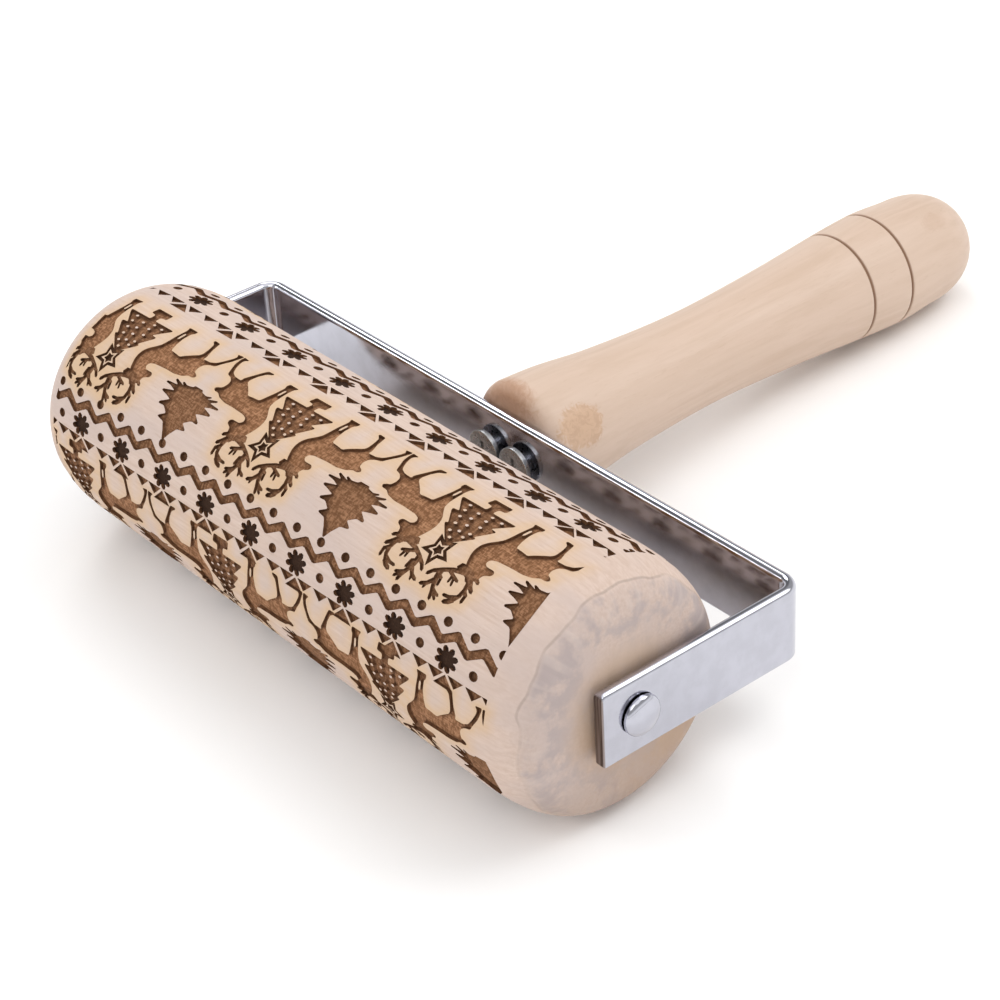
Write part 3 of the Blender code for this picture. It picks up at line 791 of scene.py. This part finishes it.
def border(pattern, x, line, gap, bow):
    """Dots, a zigzag, flowers and triangles. bow squeezes the row towards +X."""

    def along(offset):
        return x + offset - bow * offset * offset

    half = 0.5 * BORDER_PERIOD
    upper, lower = [], []
    for k in range(-12, 13):
        for edge, corners in ((upper, ZIGZAG_UPPER), (lower, ZIGZAG_LOWER)):
            for share, u, v in corners:
                edge.append((along(half * (k + share) + u + SHEAR * ZIGZAG_LINE), line + v))
        dot = along(half * (k + 0.55) + SHEAR * DOT_LINE)
        pattern.add(ellipse(dot, line + DOT_LINE, *DOT_SIZE), burn=0.35)
    pattern.add(upper + list(reversed(lower)), burn=0.12)
    base = line + gap
    for k in range(-6, 7):
        centre = BORDER_PERIOD * k
        pattern.add(flower(along(centre), line), burn=0.93)
        pattern.add(ellipse(along(centre + half), line, *DOT_SIZE), burn=0.35)
        peak = along(centre + SHEAR * gap + 0.9)
        tent = [(peak - 2.7, base + 2.5), (peak - 0.1, base + 0.1), (peak + 2.6, base + 2.5)]
        pattern.add(tent, burn=0.15)
        for offset in (-1.8, 3.5, 8.2):
            tip = along(centre + SHEAR * gap + offset)
            flag = [(tip - 2.1, base - 0.1), (tip + 2.1, base - 0.1), (tip, base + 1.75)]
            pattern.add(flag, burn=0.25)


def draw_pattern():
    pattern = Pattern()
    for band in DEER_BANDS:
        deer_band(pattern, *band)
    for row in BORDERS:
        border(pattern, *row)
    return pattern.outlines


# ---- the engraved roller

SEAM = -3.28  # where the unrolled surface starts, between two bands
ROW_SKEW = 0.025  # the rows climb a little round the roller
ENGRAVED_LEFT, ENGRAVED_RIGHT = -69.0, 70.5
ROWS, COLUMNS = 96, 70  # of the grid that the unrolled surface is divided by
SCORCH_REACH = 1.6
# The flat end and the pocket for the bush: (depth from the end, radius)
END_PROFILE = [
    (0.0, ROLLER_RADIUS - SHOULDER_DROP), (0.0, 11.0),
    (0.0, FLANGE_RADIUS + 2.0 * GAP), (GAP, FLANGE_RADIUS + GAP),
    (FLANGE_THICKNESS + GAP, FLANGE_RADIUS + GAP), (FLANGE_THICKNESS + GAP, BUSH_RADIUS + GAP),
    (BUSH_LENGTH + GAP, BUSH_RADIUS + GAP), (BUSH_LENGTH + GAP, BORE_RADIUS),
]


def surface(x):
    """(radius, slope) of the roller's outside at x, before engraving."""
    edge = ROLLER_HALF - SHOULDER_LENGTH
    reach = abs(x - ROLLER_CENTRE) - edge
    if reach <= 0.0:
        return ROLLER_RADIUS, 0.0
    share = min(reach / SHOULDER_LENGTH, 0.9999)
    rest = (1.0 - share**SHOULDER_POWER) ** (1.0 / SHOULDER_POWER)
    radius = ROLLER_RADIUS - SHOULDER_DROP * (1.0 - rest)
    slope = -SHOULDER_DROP / SHOULDER_LENGTH * (share / rest) ** (SHOULDER_POWER - 1.0)
    return radius, slope if x > ROLLER_CENTRE else -slope


def wrapped(x, s, depth):
    """Where a place on the unrolled surface is on the roller, at that depth in it."""
    angle = (s - ROW_SKEW * x) / ROLLER_RADIUS
    radius = surface(x)[0] - depth
    return Vector((x, radius * cos(angle), radius * sin(angle)))


def outward(x, s):
    """The direction straight out of the roller at a place on the unrolled surface."""
    angle = (s - ROW_SKEW * x) / ROLLER_RADIUS
    return Vector((-surface(x)[1], cos(angle), sin(angle))).normalized()


class Skin:
    """The roller's surface while it is made: vertices and faces, and what is known of each."""

    def __init__(self):
        self.places, self.normals, self.scorches = [], [], []
        self.faces, self.surfaces, self.burns = [], [], []
        self.rim = set()  # the vertices of the cut edges

    def add_vertex(self, place, normal=None, scorch=0.0):
        self.places.append(place)
        self.normals.append(normal)
        self.scorches.append(scorch)
        return len(self.places) - 1

    def add_face(self, corners, surface=LAND, burn=0.0):
        self.faces.append(corners)
        self.surfaces.append(surface)
        self.burns.append(burn)


def triangulated(outlines):
    """The unrolled surface as triangles that follow every outline and the grid's points.

    Returns its vertices, a key for each, and (corners, LAND or FLOOR, burn) for each triangle.
    The grid's first and last rows have the same keys, so the surface closes round the roller.
    """
    shapes = [points for points, _, _, _ in outlines]
    ranks = [(rank, burn) for _, rank, burn, _ in outlines]
    top = SEAM + TURN
    shapes.append([
        (ENGRAVED_LEFT, SEAM), (ENGRAVED_RIGHT, SEAM), (ENGRAVED_RIGHT, top), (ENGRAVED_LEFT, top),
    ])
    ranks.append((0, 0.0))
    flat, faces = [], []
    for points in shapes:
        start = len(flat)
        flat += [Vector(point) for point in points]
        faces.append(list(range(start, len(flat))))
    first_of_grid = len(flat)
    pitch = (ENGRAVED_RIGHT - ENGRAVED_LEFT) / COLUMNS
    for i in range(COLUMNS + 1):
        for j in range(ROWS + 1):
            flat.append(Vector((ENGRAVED_LEFT + pitch * i, SEAM + TURN * j / ROWS)))
    verts, _, triangles, sources, _, owners = delaunay_2d_cdt(flat, [], faces, 0, 1e-5, True)

    keys = []
    for index, found in enumerate(sources):
        key = (index,)
        for source in found:
            if source >= first_of_grid:
                i, j = divmod(source - first_of_grid, ROWS + 1)
                key = (i, j % ROWS)
        keys.append(key)
    whole = len(faces) - 1
    cut = []
    for corners, owner in zip(triangles, owners):
        if whole in owner:
            rank, burn = max(ranks[k] for k in owner)
            cut.append((corners, FLOOR if rank % 2 else LAND, burn))
    return verts, keys, cut


def scorching_points(outlines):
    scorching = [p for points, _, _, scorches in outlines if scorches for p in points]
    tree = kdtree.KDTree(len(scorching))
    for i, (x, s) in enumerate(scorching):
        tree.insert((x, s, 0.0), i)
    tree.balance()
    return tree


def engrave(skin, outlines):
    """The engraved part of the roller. Returns the vertices round its right and left ends."""
    flat, keys, triangles = triangulated(outlines)
    scorching = scorching_points(outlines)
    numbers = {}

    def vertex(index, level):
        """Number of the vertex for a flat one, at the level of the LAND or of the FLOOR."""
        key = (*keys[index], level)
        if key not in numbers:
            x, s = flat[index]
            distance = scorching.find((x, s, 0.0))[2]
            scorch = exp(-((distance / SCORCH_REACH) ** 2))
            place = wrapped(x, s, ENGRAVING_DEPTH if level == FLOOR else 0.0)
            numbers[key] = skin.add_vertex(place, outward(x, s), scorch)
        return numbers[key]

    edges = {}
    for corners, level, burn in triangles:
        skin.add_face([vertex(corner, level) for corner in corners], level, burn)
        for a, b in zip(corners, corners[1:] + corners[:1]):
            edges.setdefault((min(a, b), max(a, b)), []).append((a, b, level, burn))
    for sides in edges.values():
        if len(sides) == 2 and sides[0][2] != sides[1][2]:
            a, b, _, burn = sides[0] if sides[0][2] == FLOOR else sides[1]
            wall = [vertex(b, FLOOR), vertex(a, FLOOR), vertex(a, LAND), vertex(b, LAND)]
            skin.rim.update(wall)
            skin.add_face(wall, WALL, burn)
    return [[numbers[(i, j, LAND)] for j in range(ROWS)] for i in (COLUMNS, 0)]


def close_end(skin, side, rim):
    """From the engraved part's rim round the shoulder, down the end and into the bore.

    side is 1.0 for the right end and -1.0 for the left. Returns the vertices of the last ring.
    """
    edge = ENGRAVED_RIGHT if side > 0.0 else ENGRAVED_LEFT
    reach = abs(edge - ROLLER_CENTRE)
    profile = []
    for i in range(1, 9):
        share = sin(0.5 * pi * i / 9.0)
        x = ROLLER_CENTRE + side * (reach + (ROLLER_HALF - reach) * share)
        profile.append((x, surface(x)[0]))
    end = ROLLER_CENTRE + side * ROLLER_HALF
    profile += [(end - side * depth, radius) for depth, radius in END_PROFILE]
    rings = [rim]
    for x, radius in profile:
        ring = []
        for j in range(ROWS):
            angle = (SEAM + TURN * j / ROWS - ROW_SKEW * edge) / ROLLER_RADIUS
            ring.append(skin.add_vertex(Vector((x, radius * cos(angle), radius * sin(angle)))))
        rings.append(ring)
    for outer, within in zip(rings, rings[1:]):
        for j in range(ROWS):
            k = (j + 1) % ROWS
            quad = [outer[j], within[j], within[k], outer[k]]
            skin.add_face(quad if side < 0.0 else list(reversed(quad)))
    return rings[-1]


def join_bores(skin, right, left):
    """The bore between the ends' last rings, which the rows' skew has turned apart."""
    shift = round(ROW_SKEW * (ENGRAVED_RIGHT - ENGRAVED_LEFT) / (TURN / ROWS))
    for j in range(ROWS):
        k = (j + 1) % ROWS
        skin.add_face([right[j], right[k], left[(k - shift) % ROWS], left[(j - shift) % ROWS]])


def make_roller():
    skin = Skin()
    right, left = engrave(skin, draw_pattern())
    join_bores(skin, close_end(skin, 1.0, right), close_end(skin, -1.0, left))

    middle = Vector((ROLLER_CENTRE, 0.0, 0.0))
    mesh = bpy.data.meshes.new("roller")
    mesh.from_pydata([place - middle for place in skin.places], [], skin.faces)
    mesh.polygons.foreach_set("material_index", skin.surfaces)
    mesh.polygons.foreach_set("use_smooth", [kind != WALL for kind in skin.surfaces])
    rim = [1.0 if i in skin.rim else 0.0 for i in range(len(skin.places))]
    mesh.attributes.new("burn", "FLOAT", "FACE").data.foreach_set("value", skin.burns)
    mesh.attributes.new("scorch", "FLOAT", "POINT").data.foreach_set("value", skin.scorches)
    mesh.attributes.new("rim", "FLOAT", "POINT").data.foreach_set("value", rim)
    shape = bmesh.new()
    shape.from_mesh(mesh)
    bmesh.ops.recalc_face_normals(shape, faces=shape.faces)
    shape.to_mesh(mesh)
    shape.free()
    mesh.update()
    normals = []
    for polygon in mesh.polygons:
        for index in polygon.vertices:
            known = skin.normals[index] if polygon.material_index != WALL else None
            normals.append(known or (0.0, 0.0, 0.0))
    mesh.set_sharp_from_angle(angle=radians(35.0))
    mesh.normals_split_custom_set(normals)
    piece = new_piece("engraved_roller", mesh, ROLLER_WOODS)
    set_down(piece, "roller", "roller", Matrix.Translation(middle))


# ---- the handle


def handle_radius(distance):
    """The turned radius: a smooth curve through HANDLE_STATIONS."""
    stations = HANDLE_STATIONS
    last = len(stations) - 1
    i = 0
    while i < last - 1 and distance > stations[i + 1][0]:
        i += 1

    def slope(k):
        before = stations[max(k - 1, 0)]
        after = stations[min(k + 1, last)]
        return (after[1] - before[1]) / (after[0] - before[0])

    (start, first), (end, second) = stations[i], stations[i + 1]
    span = end - start
    t = (distance - start) / span
    return (
        first * (2 * t**3 - 3 * t**2 + 1)
        + second * (3 * t**2 - 2 * t**3)
        + slope(i) * span * (t**3 - 2 * t**2 + t)
        + slope(i + 1) * span * (t**3 - t**2)
    )


def make_handle():
    first, last = HANDLE_STATIONS[0], HANDLE_STATIONS[-1]
    side = []
    distance = last[0] - 1.0
    while distance > first[0]:
        if min(abs(distance - groove) for groove in GROOVES) > 0.8:
            side.append((handle_radius(distance), distance))
        distance -= 1.0
    for groove in GROOVES:
        for offset, depth in GROOVE_CUTS:
            spot = groove + offset
            side.append((handle_radius(spot) - depth, spot))
    side.sort(key=lambda point: -point[1])
    dome = rounded((last[1], last[0]), (0.0, HANDLE_LENGTH), 24, HANDLE_DOME_POWER)
    foot = rounded((first[1], first[0]), (first[1] - 3.0, 0.0), 10)
    profile = list(reversed(dome)) + side + foot + [(6.0, 0.0), (0.0, 0.0)]
    handle = turned("turned_handle", profile, HANDLE_WOOD, 96)
    place = Matrix.Translation((0.0, HANDLE_START, 0.0)) @ ALONG_Y
    set_down(handle, "holder", "handle", place)


# ---- the bracket


def strip_outline():
    """The U of the strip from above, as (outside point, inside point) pairs, tip to tip."""
    arm = [((HALF_WIDTH, y), (HALF_WIDTH - STRIP_THICKNESS, y)) for y in (20.0, 6.0, -6.0, FRONT)]
    pairs = [tuple((-x, y) for x, y in pair) for pair in reversed(arm)]
    inner = BEND_RADIUS - STRIP_THICKNESS
    for sign, start in ((-1.0, pi), (1.0, 0.5 * pi)):
        cx, cy = sign * (HALF_WIDTH - BEND_RADIUS), BACK - BEND_RADIUS
        for i in range(BEND_STEPS + 1):
            angle = start - 0.5 * pi * i / BEND_STEPS
            pairs.append(tuple(
                (cx + radius * cos(angle), cy + radius * sin(angle))
                for radius in (BEND_RADIUS, inner)
            ))
    return pairs + arm


def make_bracket():
    shape = bmesh.new()
    half = 0.5 * STRIP_HEIGHT
    sections = []
    for outside, inside in strip_outline():
        corners = ((outside, -half), (outside, half), (inside, half), (inside, -half))
        sections.append([shape.verts.new((*place, z)) for place, z in corners])
    for first, second in zip(sections, sections[1:]):
        bridge(shape, first, second)
    shape.faces.new(list(reversed(sections[0])))
    shape.faces.new(sections[-1])
    bmesh.ops.recalc_face_normals(shape, faces=shape.faces)
    weight = shape.edges.layers.float.new("bevel_weight_edge")
    for edge in shape.edges:
        if edge.calc_face_angle(0.0) > radians(60.0):
            top = min(v.co.z for v in edge.verts) > half - 0.01
            edge[weight] = 1.0 if top else BOTTOM_EDGE / TOP_EDGE
    piece = new_piece("bent_strip", smooth_mesh("bracket", shape, 180.0), [CHROME])
    rounding = piece.modifiers.new("edges", "BEVEL")
    rounding.limit_method = "WEIGHT"
    rounding.width = TOP_EDGE
    rounding.segments = 8
    weighted = piece.modifiers.new("normals", "WEIGHTED_NORMAL")
    weighted.keep_sharp = True
    set_down(piece, "holder", "bracket")


# ---- small pieces


def make_cap(side):
    """The domed cap over a rod's end, with side 1.0 for the right arm and -1.0 for the left."""
    dome = rounded((CAP_RADIUS, CAP_RIM), (0.0, CAP_HEIGHT), 16)
    profile = list(reversed(dome)) + [
        (CAP_RADIUS, 0.08), (CAP_RADIUS - 0.08, 0.0), (ROD_HOLE, 0.0), (ROD_HOLE, CAP_POCKET),
        (0.0, CAP_POCKET),
    ]
    name = "right" if side > 0.0 else "left"
    cap = turned(name + "_dome", profile, CHROME)
    turn = ALONG_X if side > 0.0 else AGAINST_X
    place = Matrix.Translation((side * (HALF_WIDTH + GAP), 0.0, 0.0)) @ turn
    set_down(cap, "holder", name + "_axle_cap", place)


def make_ring(node, radius, start, length):
    """A washer or a spacer round the rod, from start towards +X."""
    profile = [
        (ROD_HOLE, length), (radius - RING_BEVEL, length), (radius, length - RING_BEVEL),
        (radius, RING_BEVEL), (radius - RING_BEVEL, 0.0), (ROD_HOLE, 0.0),
    ]
    ring = turned(node + "_ring", profile, NYLON)
    set_down(ring, "holder", node, Matrix.Translation((start, 0.0, 0.0)) @ ALONG_X)


def make_bush(node, face, turn):
    """A flanged bush whose flange is flush with the roller's end at face."""
    profile = [
        (BUSH_BORE, -0.2), (BUSH_BORE + 0.2, 0.0), (FLANGE_RADIUS - 0.15, 0.0),
        (FLANGE_RADIUS, -0.15), (FLANGE_RADIUS, -FLANGE_THICKNESS),
        (BUSH_RADIUS, -FLANGE_THICKNESS), (BUSH_RADIUS, 0.2 - BUSH_LENGTH),
        (BUSH_RADIUS - 0.2, -BUSH_LENGTH), (BUSH_BORE, -BUSH_LENGTH),
    ]
    bush = turned(node + "_flanged", profile, NYLON)
    set_down(bush, "roller", node, Matrix.Translation((face, 0.0, 0.0)) @ turn)


def make_rod():
    half = [(0.0, ROD_HALF), (ROD_RADIUS - ROD_BEVEL, ROD_HALF), (ROD_RADIUS, ROD_HALF - ROD_BEVEL)]
    profile = half + [(radius, -height) for radius, height in reversed(half)]
    rod = turned("drawn_rod", profile, STEEL)
    set_down(rod, "holder", "axle_rod", ALONG_X)


def make_screw(node, x):
    """A screw with a thin flat head and a cross recess. The head's underside is at Z = 0."""
    radius, height, edge = SCREW_HEAD_RADIUS, SCREW_HEAD_HEIGHT, SCREW_HEAD_EDGE
    profile = list(reversed(rounded((radius, height - edge), (radius - edge, height), 5))) + [
        (radius, 0.1), (radius - 0.1, 0.0), (SCREW_SHANK_RADIUS, 0.0),
        (SCREW_SHANK_RADIUS, SCREW_POINT - SCREW_LENGTH), (0.0, -SCREW_LENGTH),
    ]
    shape, rings = spun(profile, SCREW_STEPS)
    cut_recess(shape, rings[0])
    screw = new_piece(node + "_flat", smooth_mesh(node, shape), [ZINC])
    stand = Matrix.Translation((x, BACK - STRIP_THICKNESS - SCREW_STAND, -SCREW_DROP))
    set_down(screw, "holder", node, stand @ AGAINST_Y)


def cut_recess(shape, rim):
    """The top of a screw's head inside its rim, with a cross let into it."""
    reach, half = RECESS_REACH, RECESS_HALF_WIDTH
    cross = []
    for quarter in range(4):
        turn = Matrix.Rotation(0.5 * pi * quarter, 2)
        cross += [turn @ Vector(p) for p in ((reach, -half), (reach, half), (half, half))]
    mouth = [shape.verts.new((p.x, p.y, SCREW_HEAD_HEIGHT)) for p in cross]
    depth = SCREW_HEAD_HEIGHT - RECESS_DEPTH
    bottom = [shape.verts.new((0.7 * p.x, 0.7 * p.y, depth)) for p in cross]
    known = rim + mouth
    flat = [vertex.co.to_2d() for vertex in known]
    loops = [list(range(len(rim))), list(range(len(rim), len(known)))]
    _, _, triangles, sources, _, owners = delaunay_2d_cdt(flat, [], loops, 1, 1e-5, True)
    for corners, owner in zip(triangles, owners):
        if 1 not in owner:
            shape.faces.new([known[sources[corner][0]] for corner in corners])
    bridge(shape, mouth, bottom)
    shape.faces.new(bottom)


add_camera()
add_floor()
add_world()
for softbox in LIGHTS:
    add_softbox(*softbox)
bpy.context.scene.view_settings.view_transform = "Standard"

make_roller()
make_handle()
make_bracket()
make_cap(1.0)
make_cap(-1.0)
make_bush("right_bush", RIGHT_END, ALONG_X)
make_bush("left_bush", LEFT_END, AGAINST_X)
make_ring("right_washer", WASHER_RADIUS, RIGHT_END + GAP, WASHER_THICKNESS)
washer_start = LEFT_END - GAP - WASHER_THICKNESS
make_ring("left_washer", WASHER_RADIUS, washer_start, WASHER_THICKNESS)
make_ring("left_spacer", SPACER_RADIUS, washer_start - GAP - SPACER_LENGTH, SPACER_LENGTH)
make_rod()
make_screw("right_handle_screw", SCREW_OFFSET)
make_screw("left_handle_screw", -SCREW_OFFSET)
